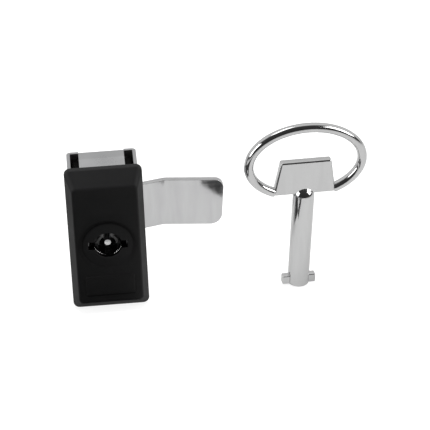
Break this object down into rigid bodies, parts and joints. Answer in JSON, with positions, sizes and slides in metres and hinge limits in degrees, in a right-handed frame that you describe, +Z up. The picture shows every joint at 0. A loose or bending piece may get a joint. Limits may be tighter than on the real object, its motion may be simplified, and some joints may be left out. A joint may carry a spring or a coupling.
{
  "type": "quarter-turn lock",
  "caption": "Panel lock with bevelled rectangular housing, double-bit keyhole, clamp bracket and cranked cam on a quarter-turn spindle, with its loose finger-bow key",
  "frame": {"origin": "where the spindle axis crosses the front of the panel, on the plane of the flange's back", "axes": "+X across the lock towards the cam's side, +Y along the spindle from the front into the cabinet, +Z up along the housing's height"},
  "size_m": [0.1317, 0.0387, 0.0818],
  "materials": {
    "black_coat": "satin black powder coat on a zinc casting",
    "zinc_sheet": "zinc-plated sheet, dull bright",
    "zinc_hardware": "zinc-plated fasteners",
    "spring_steel": "oiled dark spring steel",
    "core_metal": "plated zinc casting",
    "pin_steel": "bright turned steel",
    "seal_rubber": "black rubber",
    "cam_chrome": "bright plated steel",
    "key_chrome": "polished chrome on a zinc casting"
  },
  "bodies": {
    "body": {"front_housing": "black_coat", "core_snap_ring": "spring_steel", "clamp_bracket": "zinc_sheet", "clamp_washers": "zinc_hardware", "clamp_screws": "zinc_hardware", "double_bit_key": "key_chrome"},
    "rotor": {"lock_core": "core_metal", "centre_pin": "pin_steel", "core_seal_ring": "seal_rubber", "stop_disc": "zinc_hardware", "cam": "cam_chrome", "cam_washer": "zinc_hardware", "cam_spring_washer": "zinc_hardware", "cam_bolt": "zinc_hardware"}
  },
  "joints": [
    {"name": "cam_turn", "type": "hinge", "parent": "body", "child": "rotor", "pos_m": [0, 0, 0], "axis": [0, 1, 0], "range_deg": [-90, 0]}
  ]
}
